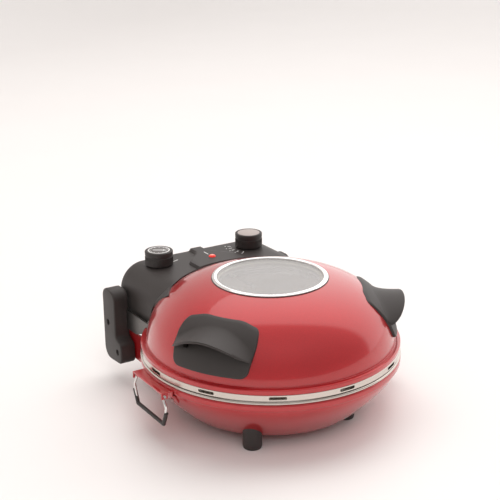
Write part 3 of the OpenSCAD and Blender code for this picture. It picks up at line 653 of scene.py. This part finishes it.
def base_shell():
    flange = arc(rim_r - 2.6, 72.1, 2.6, -90, 0) + arc(rim_r - 2.6, base_top - 2.6, 2.6, 0, 90)
    floor = belly_z + shell_t
    inner = [p for p in reversed(along(bowl, -shell_t)) if p[1] > floor]
    outline = ([(0, belly_z)] + along(bowl) + [(172.6, 69.5)] + flange + [(170.4, base_top)] + inner
               + [(inner[-1][0] - 0.6, floor), (0, floor)])
    shell = turned("base_bowl", outline)
    vent = slab("vent", oblong(70, -3, 104, 3, 2.9), ("z", belly_z - 2, belly_z + 4))
    cut(shell, repeat(vent, RED, VENT_COUNT, turn=360 / VENT_COUNT))
    settle(smoothed(shell), "base", RED, ["base_shell"])


def base_reflector():
    t = 0.4
    path = [(168.4, lip_z + 1.2), (167.6, lip_z), (163, 60), (146, 42), (136, 34), (132, DISH_LOW)]
    upper = [(r - t, z + t) for r, z in path]
    lower = [(r + t, z - t) for r, z in reversed(path)]
    lip = arc(rim_r - 2.1, lip_z, 2.0, -150, 90, 14)
    outline = ([(0, DISH_LOW - t)] + list(reversed(lower)) + lip + [(169.2, lip_z + 2)] + upper
               + [(0, DISH_LOW + t)])
    dish = turned("base_dish", outline)
    settle(smoothed(dish), "base", LINER, ["base_reflector"])


def baking_stone():
    low, high = node_box("baking_stone")
    r, z0, z1 = high.x, low.z, high.z
    outline = ([(0, z0), (r - 1.5, z0)] + arc(r - 1.5, z0 + 1.5, 1.5, -90, 0, 4)
               + arc(r - 2, z1 - 2, 2, 0, 90, 5) + [(0, z1)])
    settle(smoothed(turned("pizza_stone", outline)), "stone", STONE, ["baking_stone"])


def element(name, node, body, height):
    high = node_box(node)[1]
    loop_r, gap, tail = high.x - ELEMENT_R, ELEMENT_GAP, high.y
    start = asin(gap / loop_r)
    loop = [(loop_r * sin(a), loop_r * cos(a), height)
            for a in (start + (2 * pi - 2 * start) * i / 120 for i in range(121))]
    path = [(gap, tail, height)] + loop + [(-gap, tail, height)]
    settle(tube(name, bent(path, 6), ELEMENT_R, ELEMENT, 20), body, ELEMENT, [node])


def foot(name, node):
    """A round foot whose top is cut to the shell's underside."""
    low, high = node_box(node)
    centre, n = (low + high) / 2, 48

    def ring(radius, height):
        """height is a number, or a rule that gives it at each point."""
        points = [(centre.x + radius * cos(2 * pi * i / n), centre.y + radius * sin(2 * pi * i / n))
                  for i in range(n)]
        return [(x, y, height(x, y) if callable(height) else height) for x, y in points]

    def underside(x, y):
        pts, reach = along(bowl, -0.1), hypot(x, y)
        return belly_z if reach <= pts[0][0] else next(z for r, z in pts if r >= reach)

    rows = [(10.0, 0.0), (11.2, 0.0), (11.8, 0.5), (11.9, 2.4), (12.4, 3.0), (FOOT_R, 3.8),
            (FOOT_R, 12.0), (FOOT_R, underside), (FOOT_R - 4.2, underside)]
    verts = [p for radius, height in rows for p in ring(radius, height)]
    faces = bands(len(rows), n) + [tuple(range(n)), tuple((len(rows) - 1) * n + i for i in range(n))]
    settle(smoothed(mesh_from(name, verts, faces)), "base", BLACK, [node])


def bail(side, name):
    """Wire bail and its sleeve. side is -1 for the left, 1 for the right."""
    body, wire, sleeve = name + "_bail", name + "_bail_wire", name + "_bail_sleeve"
    x, neck, grip = side * BAIL_X, 36, node_box(wire)[0].z + WIRE_R
    half = [(x, neck + 6, BAIL_Z), (x, neck, BAIL_Z), (x, neck, 66), (x, BAIL_HALF, 57), (x, BAIL_HALF, grip)]
    whole = half + [(a, -b, c) for a, b, c in reversed(half)]
    settle(tube(name + "_bail_rod", bent_ends(whole), WIRE_R, BRIGHT), body, BRIGHT, [wire])
    cover = [(x, BAIL_HALF, 50), (x, BAIL_HALF, grip), (x, -BAIL_HALF, grip), (x, -BAIL_HALF, 50)]
    settle(tube(name + "_bail_grip", bent(cover, 9, 12), SLEEVE_R, BLACK, 20), body, BLACK, [sleeve])


def bent_ends(points):
    """The bail's route: tight bends at the pivots, wide ones at the grip."""
    tight = bent(points[:4], 2.5)[:-1]
    grip = bent(points[3:7], 9, 10)
    other = bent(points[6:], 2.5)[1:]
    return tight + grip + other


base_shell()
base_reflector()
baking_stone()
element("lower_element_tube", "lower_element", "base", 52)
for name in ("foot_front_left", "foot_front_right", "foot_rear_left", "foot_rear_right"):
    foot(name + "_body", name)
bail(-1, "left")
bail(1, "right")

# ---------------------------------------------------------------- lid


def lid_shell():
    top = arc(window_hole_r + 0.7, 182.4 - 0.9, 0.7, 180, 90, 4)
    seam = [(168.05, 99.0), (168.5, 98.7), (169.1, 98.75), (169.6, 99.0)]
    edge = (arc(lid_rim - 1.5, shoulder_z - 1.5, 1.5, 80, 0, 8)
            + arc(lid_rim - 0.75, edge_low + 0.75, 0.75, 0, -180, 8))
    outline = (top + list(reversed(along(dome)))[1:] + seam + edge + [(lid_rim - 1.5, 97.2), (166.5, 97.9)]
               + along(dome, -shell_t))
    settle(smoothed(turned("lid_dome", outline)), "lid", RED, ["lid_shell"])


def lid_reflector():
    t = 0.5
    inside = [p for p in along(dome, -liner_gap) if p[0] > window_hole_r + 1]
    outline = ([(band_r + t, band_low + 0.6), (band_r + t, band_top - 0.6), (band_r - 0.2, band_top)]
               + [(168.4, band_top), (165.9, band_top + 2.2)] + [(r + t * 0.6, z + t * 0.8) for r, z in inside]
               + [(r - t * 0.6, z - t * 0.8) for r, z in reversed(inside)]
               + [(164.9, band_top + 1.4), (167.6, band_top - 1), (band_r - t, band_top - 1)]
               + arc(band_r - 0.2, band_low + 0.5, 0.6, 180, 360, 6))
    skin = turned("lid_reflector_sheet", outline)
    z, w, h = (band_low + band_top) / 2, 11.0, 2.0
    slot = slab("slot", oblong(-w, z - h, w, z + h, 1.6), ("y", -rim_r - 2, -rim_r + 5))
    cut(skin, repeat(slot, LINER, SLOT_COUNT, turn=360 / SLOT_COUNT))
    settle(smoothed(skin), "lid", LINER, ["lid_reflector"])


def window():
    neck, top = window_hole_r - 0.3, 184.4
    outline = ([(72.5, 174), (neck, 174), (neck, 182.9), (77.4, 182.1)] + arc(76.7, 183.0, 0.8, -20, 60, 4)
               + arc(74.4, top - 1.0, 1.0, 75, 105, 4) + arc(71.8, top - 1.3, 1.0, 100, 180, 5)
               + [(70.8, 182.22), (72.5, 182.22)])
    settle(smoothed(turned("window_trim", outline)), "lid", POLISHED, ["window_ring"])
    seal = [(76.9, 181.7), (78.3, 181.5)] + arc(77.8, 182.0, 0.5, -10, 120, 6) + [(76.9, 182.3)]
    settle(smoothed(turned("window_seal", seal)), "lid", BLACK)
    z0, z1, r = 178.2, 182.2, 72.4
    disc = [(0, z0), (r - 0.4, z0), (r, z0 + 0.4), (r, z1 - 0.4), (r - 0.4, z1), (0, z1)]
    settle(smoothed(turned("window_pane", disc, 128)), "lid", GLASS, ["window_glass"])


def lid_handle(name, node, side):
    """Plate that hugs the dome, with a brim swept out of it. u runs across, z up."""
    columns, rows_top, rows_low = 64, 10, 12
    outline = rounded([(-52.5, 109, 10), (52.5, 109, 10), (HANDLE_HALF, 145, 30), (51.5, 161.2, 11),
                       (27, 167.2, 60), (-27, 167.2, 60), (-51.5, 161.2, 11), (-HANDLE_HALF, 145, 30)], 10)
    plate_half = max(u for u, z in outline) - 0.01

    def depth(z, u, out):
        return sqrt(max(radius_at(dome, z) ** 2 - u * u, 1)) + out

    def span(u):
        """Lowest and highest point of the plate's outline at u."""
        hits = []
        for (x0, z0), (x1, z1) in zip(outline, outline[1:] + outline[:1]):
            if (x0 - u) * (x1 - u) <= 0 and x0 != x1:
                hits.append(z0 + (z1 - z0) * (u - x0) / (x1 - x0))
        return min(hits), max(hits)

    def skin(z, u, out, end, inset=1.4):
        """A point of the plate's face, rounded off within inset of one of its ends."""
        near = min(1.0, abs(z - end) / inset)
        return depth(z, u, PLATE_GAP + 0.9 + (out - PLATE_GAP - 0.9) * sqrt(max(0, 1 - (1 - near) ** 2))), z

    def swept(start, elbow, end, steps):
        """Points on a curve from start to end that bends towards the elbow."""
        return [tuple((1 - v) ** 2 * start[j] + 2 * v * (1 - v) * elbow[j] + v * v * end[j] for j in (0, 1))
                for v in (k / steps for k in range(1, steps + 1))]

    front, back = [], []
    for i in range(columns + 1):
        s = -cos(pi * i / columns)
        u = s * plate_half
        low, high = span(u)
        edge = min(1.0, (plate_half - abs(u)) / 1.6)
        out = PLATE_GAP + 0.9 + (PLATE_T - 0.9) * sqrt(max(0, 1 - (1 - edge) ** 2))
        w = max(0.0, 1 - (u / HANDLE_HALF) ** 2)
        root = min(134 + 21 * w, high - 2)
        bow = sqrt(max(0.0, 1 - abs(u / HANDLE_HALF) ** 3))
        tip = (depth(131, u, 4) + BRIM_REACH * bow - 0.5, 131 + 24 * w)
        column = [skin(high + (min(root + 7, high - 1.5) - high) * (k / rows_top) ** 1.6, u, out, high)
                  for k in range(rows_top + 1)]
        column += swept(column[-1], (depth(root, u, out - 0.2), root - 0.5), tip, 12)
        thick = 3.2 * min(1, 0.35 + w * 1.5)
        column += [(tip[0] + 0.55, tip[1] - 0.35 * thick), (tip[0] + 0.45, tip[1] - 0.7 * thick),
                   (tip[0] - 0.25, tip[1] - thick)]
        below = max(low + 3, root - 4.5 - 2 * w)
        column += swept(column[-1], (depth(below + 1.5, u, out + 0.6), below + 1.0),
                        (depth(below - 3, u, out), below - 3), 10)
        column += [skin(below - 3 + (low - below + 3) * (1 - (1 - k / rows_low) ** 1.6), u, out, low)
                   for k in range(1, rows_low + 1)]
        front.append([(u, -d, z) for d, z in column])
        heights = [high + (low - high) * k / (len(column) - 1) for k in range(len(column))]
        back.append([(u, -depth(z, u, PLATE_GAP), z) for z in heights])
    n = len(front[0])
    verts = [p for c in front for p in c] + [p for c in back for p in c]
    base = (columns + 1) * n
    faces = []
    for i in range(columns):
        for k in range(n - 1):
            a, b = i * n + k, (i + 1) * n + k
            faces += [(a, b, b + 1, a + 1), (base + a, base + a + 1, base + b + 1, base + b)]
        for k in (0, n - 1):
            a, b = i * n + k, (i + 1) * n + k
            faces.append((a, b, base + b, base + a))
    for i in (0, columns):
        for k in range(n - 1):
            a = i * n + k
            faces.append((a, a + 1, base + a + 1, base + a))
    piece = mesh_from(name, verts, faces)
    placed(piece, Matrix.Rotation(radians(side * HANDLE_ANGLE), 4, "Z"))
    settle(smoothed(piece, 50), "lid", BLACK, [node])


def control_housing():
    """Hollow moulding behind the dome, open at the back for its cover."""

    def dome_y(x, z, gap):
        r = (radius_at(dome, z) if z > shoulder_z + gap else lid_rim) + gap
        return sqrt(max(r * r - x * x, 0))

    def ring(inset):
        x, low, top = HOUSING_X - inset, HOUSING_LOW + inset, HOUSING_TOP - inset
        r, q = HOUSING_ROUND - inset, 6 - inset / 2
        right = (arc(x - q, low + q, q, -90, 0, 5)
                 + [(x, low + q + (top - r - low - q) * k / 4) for k in range(1, 4)]
                 + arc(x - r, top - r, r, 0, 90, 14))
        flat = [(x - r) * (1 - 2 * k / 24) for k in range(1, 24)]
        left = [(-a, b) for a, b in reversed(right)]
        floor = [(-(x - q) * (1 - 2 * k / 28), low) for k in range(1, 28)]
        return right + [(a, top) for a in flat] + left + floor

    outer, inner = ring(0.0), ring(WALL)
    soft, softer = ring(0.35), ring(1.1)

    def front_loop(points, past):
        return [(x, dome_y(x, z, 1.5) + past, z) for x, z in points]

    def back_loop(points, before):
        return [(x, HOUSING_BACK - before, z) for x, z in points]

    rows = [front_loop(inner, 2.6), front_loop(inner, 0.2), front_loop(softer, 0), front_loop(soft, 0.35),
            front_loop(outer, 1.1)]
    for k in range(1, 12):
        rows.append([(x, y + (HOUSING_BACK - 1.5 - y) * k / 11, z) for x, y, z in rows[4]])
    rows += [back_loop(soft, 0.4), back_loop(softer, 0), back_loop(inner, 0), back_loop(inner, 4), rows[0]]
    verts = [p for row in rows for p in row]
    faces = bands(len(rows), len(outer))
    shell = mesh_from("housing_shell", verts, faces)
    # the wall behind the dome: a sheet of quads between the moulding's top and floor
    xs = sorted({round(x, 4) for x, z in inner})
    wall_verts, wall_faces, m = [], [], 12
    for x in xs:
        zs = [z for px, z in inner if abs(px - x) < 1e-3]
        low, high = min(zs), max(zs)
        if high - low < 1:
            low, high = HOUSING_LOW + WALL, HOUSING_TOP - WALL
        for k in range(m + 1):
            z = low + (high - low) * k / m
            wall_verts.append((x, dome_y(x, z, 1.5) + 0.3, z))
    for i in range(len(xs) - 1):
        for k in range(m):
            a, b = i * (m + 1) + k, (i + 1) * (m + 1) + k
            wall_faces.append((a, b, b + 1, a + 1))
    wall = mesh_from("housing_wall", wall_verts, wall_faces)
    applied(wall, ("SOLIDIFY", dict(thickness=2.2, offset=0)))
    pad = housing_pad(dome_y)
    piece = joined("housing_moulding", [shell, wall, pad])
    settle(smoothed(piece, 40), "lid", BLACK, ["control_housing"])


def pad_half(y):
    """Half the width of the raised pad: narrow at the back, flared towards the dome."""
    t = min(1.0, max(0.0, (y - 146) / (188 - 146)))
    return 40.5 - 28.5 * (3 * t * t - 2 * t ** 3)


def housing_pad(dome_y):
    """Raised middle of the housing's top, with rolled edges."""
    verts, faces, across, rows = [], [], 24, 40
    back = HOUSING_BACK - 0.05
    for j in range(rows + 1):
        for i in range(across + 1):
            s = -1 + 2 * i / across
            near = dome_y(s * 38, PAD_TOP - 1, 1.6)
            y = near + (back - near) * j / rows
            half = pad_half(y)
            edge = half * (1 - abs(s))
            drop = min(1.0, edge / 4) * min(1.0, 0.25 + (y - near) / 2) * min(1.0, 0.3 + (back - y) / 1.5)
            z = HOUSING_TOP - 0.3 + (PAD_TOP - HOUSING_TOP + 0.3) * (3 * drop ** 2 - 2 * drop ** 3)
            verts.append((s * half, y, z))
    n = across + 1
    for j in range(rows):
        faces += [(j * n + i, j * n + i + 1, (j + 1) * n + i + 1, (j + 1) * n + i) for i in range(across)]
    top = len(verts)
    verts += [(x, y, HOUSING_TOP - 1.2) for x, y, z in verts]
    for j in range(rows):
        faces += [(top + j * n + i, top + (j + 1) * n + i, top + (j + 1) * n + i + 1, top + j * n + i + 1)
                  for i in range(across)]
    rim = ([i for i in range(n)] + [j * n + across for j in range(1, rows + 1)]
           + [rows * n + i for i in range(across - 1, -1, -1)] + [j * n for j in range(rows - 1, 0, -1)])
    faces += [(a, b, top + b, top + a) for a, b in zip(rim, rim[1:] + rim[:1])]
    return mesh_from("pad", verts, faces)


ARM_BACK = node_box("left_arm_cover")[1].y
ARM_OUTLINE = [(156, 31, 9), (204, 28, 16), (ARM_BACK, 44, 12), (ARM_BACK, 134.5, 12), (172, 134.5, 14),
               (172.5, 68, 8), (156, 60, 8)]
ARM_INNER = [(158.5, 33.4, 6.5), (203, 30.6, 13.5), (ARM_BACK - 2.5, 45, 9.5), (ARM_BACK - 2.5, 132, 9.5),
             (174.5, 132, 11.5), (175, 67, 10.5), (158.5, 58.4, 5.5)]


def arm_cover(name, node, side):
    arm = slab("arm", rounded(ARM_OUTLINE, 8), ("x", ARM_X0, ARM_X1))
    arm = bevelled(arm, 2.2, 4, 60)
    cut(arm, slab("hollow", rounded(ARM_INNER, 8), ("x", ARM_X0 - 2, ARM_X1 - 2.6)))
    cut(arm, slab("way", oblong(150, 76.5, 180, 107.5), ("x", ARM_X0 - 2, 130.3)))
    recess = [(0, 0), (3.6, 0), (4.0, 9.6), (4.8, 11.2), (4.8, 16), (0, 16)]
    for y, z in (ARM_SCREW, HINGE):
        cut(arm, barrel("recess", (139, y, z), (1, 0, 0), recess))
    if side < 0:
        placed(arm, Matrix.Diagonal((-1, 1, 1, 1)))
    arm.name = name
    settle(smoothed(arm, 28), "lid", BLACK, [node])


def knob(name, node, body, x):
    """Draws a knob, and gives back its cap with the middle's place and the top's height."""
    low, high = node_box(node)
    r, z0, z1, y = KNOB_R, low.z, high.z, (low.y + high.y) / 2
    turn = z1 - 8
    outline = ([(0, z1 - 5), (r - 3, z1 - 5), (r - 2.4, z0), (r - 0.6, z0)]
               + arc(r - 0.6, z0 + 0.8, 0.6, -90, 0, 3)
               + [(r - 0.5, turn - 0.6), (r - 1.0, turn), (r - 1.0, turn + 1.3), (r - 0.1, turn + 1.9)]
               + arc(r - 1.5, z1 - 1.5, 1.5, 0, 90, 6) + [(r - 3.2, z1), (r - 3.6, z1 - 0.4), (0, z1 - 0.4)])
    body_piece = turned("knob_body", outline, 96)
    wedge = rounded([(r - 0.8, -0.28, 0.1), (r, -0.2, 0.1), (r, 0.2, 0.1), (r - 0.8, 0.28, 0.1)], 2)
    rib = slab("rib", wedge, ("z", z0 + 1.2, turn - 0.8))
    ribs = repeat(rib, BLACK, 60, turn=6)
    piece = joined(name, [body_piece, ribs])
    placed(piece, Matrix.Translation((x, y, 0)))
    settle(smoothed(piece, 30), body, BLACK, [node])
    cap = turned(name + "_cap", [(0, z1 - 0.4), (r - 3.7, z1 - 0.4), (r - 3.7, z1 - 0.12),
                                 (r - 4.0, z1 - 0.05), (0, z1 - 0.05)], 96)
    placed(cap, Matrix.Translation((x, y, 0)))
    return cap, y, z1


def bar(name, centre, length, width, angle, z, thick=0.12):
    """A short printed stroke, pointing at an angle in degrees."""
    piece = slab(name, oblong(-length / 2, -width / 2, length / 2, width / 2), ("z", 0, thick))
    turn = Matrix.Rotation(radians(angle), 4, "Z")
    return placed(piece, Matrix.Translation((centre[0], centre[1], z)) @ turn)


def knobs():
    cap, y, z = knob("timer_knob_grip", "timer_knob", "timer_dial_knob", -KNOB_X)
    settle(smoothed(cap), "timer_dial_knob", DIAL, ["timer_dial"])
    ticks = repeat(bar("tick", (12.2, 0), 2.4, 0.9, 0, 0), PRINT, 12, turn=30)
    rim = turned("dial_rim", [(13.9, 0), (15.7, 0), (15.7, 0.12), (13.9, 0.12)], 96)
    arrow = [(-8.5, -1.2), (6, -1.2), (6, -3.2), (10.5, 0), (6, 3.2), (6, 1.2), (-8.5, 1.2)]
    pointer = slab("pointer", arrow, ("z", 0, 0.12))
    placed(pointer, Matrix.Rotation(radians(-35), 4, "Z"))
    marks = joined("timer_dial_marks", [ticks, rim, pointer])
    placed(marks, Matrix.Translation((-KNOB_X, y, z - 0.06)))
    settle(marks, "timer_dial_knob", PRINT)
    cap = knob("thermostat_knob_grip", "thermostat_knob", "heat_knob", KNOB_X)[0]
    settle(smoothed(cap), "heat_knob", CAP)


def housing_marks():
    z = HOUSING_TOP - 0.02
    left = bar("timer_mark", (-KNOB_X + 27, KNOB_Y + 1.5), 10, 1.4, 20, z)
    dash = bar("lamp_mark", (0, 170.5), 1.4, 13, 0, PAD_TOP - 0.02)
    strokes = [left, dash]
    for a in range(150, 240, 18):
        for name, reach, length, width in (("heat_tick", 29, 5, 1.3), ("heat_dot", 35, 1.6, 1.6)):
            where = (KNOB_X + reach * cos(radians(a)), KNOB_Y + reach * sin(radians(a)))
            strokes.append(bar(name, where, length, width, a, z))
    settle(joined("housing_marks", strokes), "lid", PRINT)


def pilot_lens():
    top = PAD_TOP
    outline = [(0, top - 1), (5.2, top - 1), (5.2, top + 0.5), (4.6, top + 1.5), (3.4, top + 2.2),
               (1.8, top + 2.7), (0, top + 2.8)]
    dome_piece = placed(turned("pilot_lens_dome", outline, 48), Matrix.Translation((0, LENS_Y, 0)))
    settle(smoothed(dome_piece, 60), "lid", LENS, ["pilot_lens"])


lid_shell()
lid_reflector()
window()
lid_handle("left_handle_brim", "left_lid_handle", -1)
lid_handle("right_handle_brim", "right_lid_handle", 1)
control_housing()
arm_cover("left_arm_moulding", "left_arm_cover", -1)
arm_cover("right_arm_moulding", "right_arm_cover", 1)
knobs()
housing_marks()
pilot_lens()
element("upper_element_tube", "upper_element", "lid", 150)

# ---------------------------------------------------------------- floor, light and camera


def floor_finish():
    f = Finish("floor", **{"Specular IOR Level": 0.2, "Roughness": 0.7})
    return f.feed(Base_Color=f.blend(f.noise(3, 2), (0.86, 0.835, 0.82), (0.88, 0.855, 0.84)))


def stage():
    """Pale sweep: a floor that curves up into a back wall."""
    bend = [(2.2 + 1.5 * sin(a), 1.5 - 1.5 * cos(a)) for a in (pi / 2 * k / 16 for k in range(1, 17))]
    profile = [(-3.5, 0.0), (2.2, 0.0)] + bend + [(3.7, 5.0)]
    turn = Matrix.Rotation(radians(32), 4, "Z")
    verts = [turn @ Vector((x, y, z)) for x in (-6.0, 6.0) for y, z in profile]
    n = len(profile)
    floor = mesh_from("pale_sweep", verts, [(i, n + i, n + i + 1, i + 1) for i in range(n - 1)])
    if floor.data.polygons[0].normal.z < 0:
        floor.data.flip_normals()
    floor.data.materials.append(floor_finish())


def light(name, place, aim, size, power, colour=(1, 1, 1)):
    """A round lamp that lights the oven but isn't mirrored in it."""
    data = bpy.data.lights.new(name, "AREA")
    data.shape, data.size, data.energy, data.color = "DISK", size, power, colour
    lamp = bpy.data.objects.new(name, data)
    bpy.context.scene.collection.objects.link(lamp)
    lamp.location = place
    lamp.rotation_euler = (Vector(aim) - Vector(place)).to_track_quat("-Z", "Y").to_euler()
    lamp.visible_glossy = False


def studio():
    world = bpy.data.worlds.new("studio")
    bpy.context.scene.world = world
    world.use_nodes = True
    back = world.node_tree.nodes["Background"]
    back.inputs["Color"].default_value = (1.0, 0.97, 0.955, 1)
    # dim at eye level in front, brighter overhead, and a large bright ceiling behind the oven
    nodes, links = world.node_tree.nodes, world.node_tree.links

    def ramp(source, low, high, bottom, top):
        step = nodes.new("ShaderNodeMapRange")
        step.interpolation_type = "SMOOTHSTEP"
        for socket, value in (("From Min", low), ("From Max", high), ("To Min", bottom), ("To Max", top)):
            step.inputs[socket].default_value = value
        links.new(source, step.inputs["Value"])
        return step.outputs[0]

    where, split = nodes.new("ShaderNodeTexCoord"), nodes.new("ShaderNodeSeparateXYZ")
    behind, total = nodes.new("ShaderNodeVectorMath"), nodes.new("ShaderNodeMath")
    behind.operation = "DOT_PRODUCT"
    behind.inputs[1].default_value = (sin(radians(31.9)), cos(radians(31.9)), 0)
    links.new(where.outputs["Generated"], split.inputs[0])
    links.new(where.outputs["Generated"], behind.inputs[0])
    links.new(ramp(split.outputs["Z"], 0.0, 0.95, 0.36, 0.62), total.inputs[0])
    links.new(ramp(behind.outputs["Value"], 0.06, 0.20, 0.0, 1.0), total.inputs[1])
    links.new(total.outputs[0], back.inputs["Strength"])
    light("overhead", (0.7, 1.0, 3.4), (0, 0.1, 0.1), 3.2, 46, (1, 0.985, 0.97))
    light("front_fill", (-0.9, -2.4, 2.8), (0, -0.2, 0.1), 2.6, 26)


def camera():
    """Eye level above the lid, turned towards the left front."""
    heading, pitch, roll = radians(HEADING), radians(PITCH), radians(ROLL)
    data = bpy.data.cameras.new("view")
    data.sensor_width, data.lens = 36.0, 36.0 * FIELD
    data.clip_end = 50
    eye = bpy.data.objects.new("view", data)
    bpy.context.scene.collection.objects.link(eye)
    ahead = Vector((-sin(heading) * cos(pitch), cos(heading) * cos(pitch), -sin(pitch)))
    right = Vector((cos(heading), sin(heading), 0))
    up = right.cross(ahead)
    side = right * cos(roll) - up * sin(roll)
    top = right * sin(roll) + up * cos(roll)
    turn = Matrix((side, top, -ahead)).transposed().to_4x4()
    eye.matrix_world = Matrix.Translation((-0.7668, -1.1821 + AXIS_Y, 0.692)) @ turn
    bpy.context.scene.camera = eye


stage()
studio()
camera()
bpy.context.scene.view_settings.view_transform = "Standard"
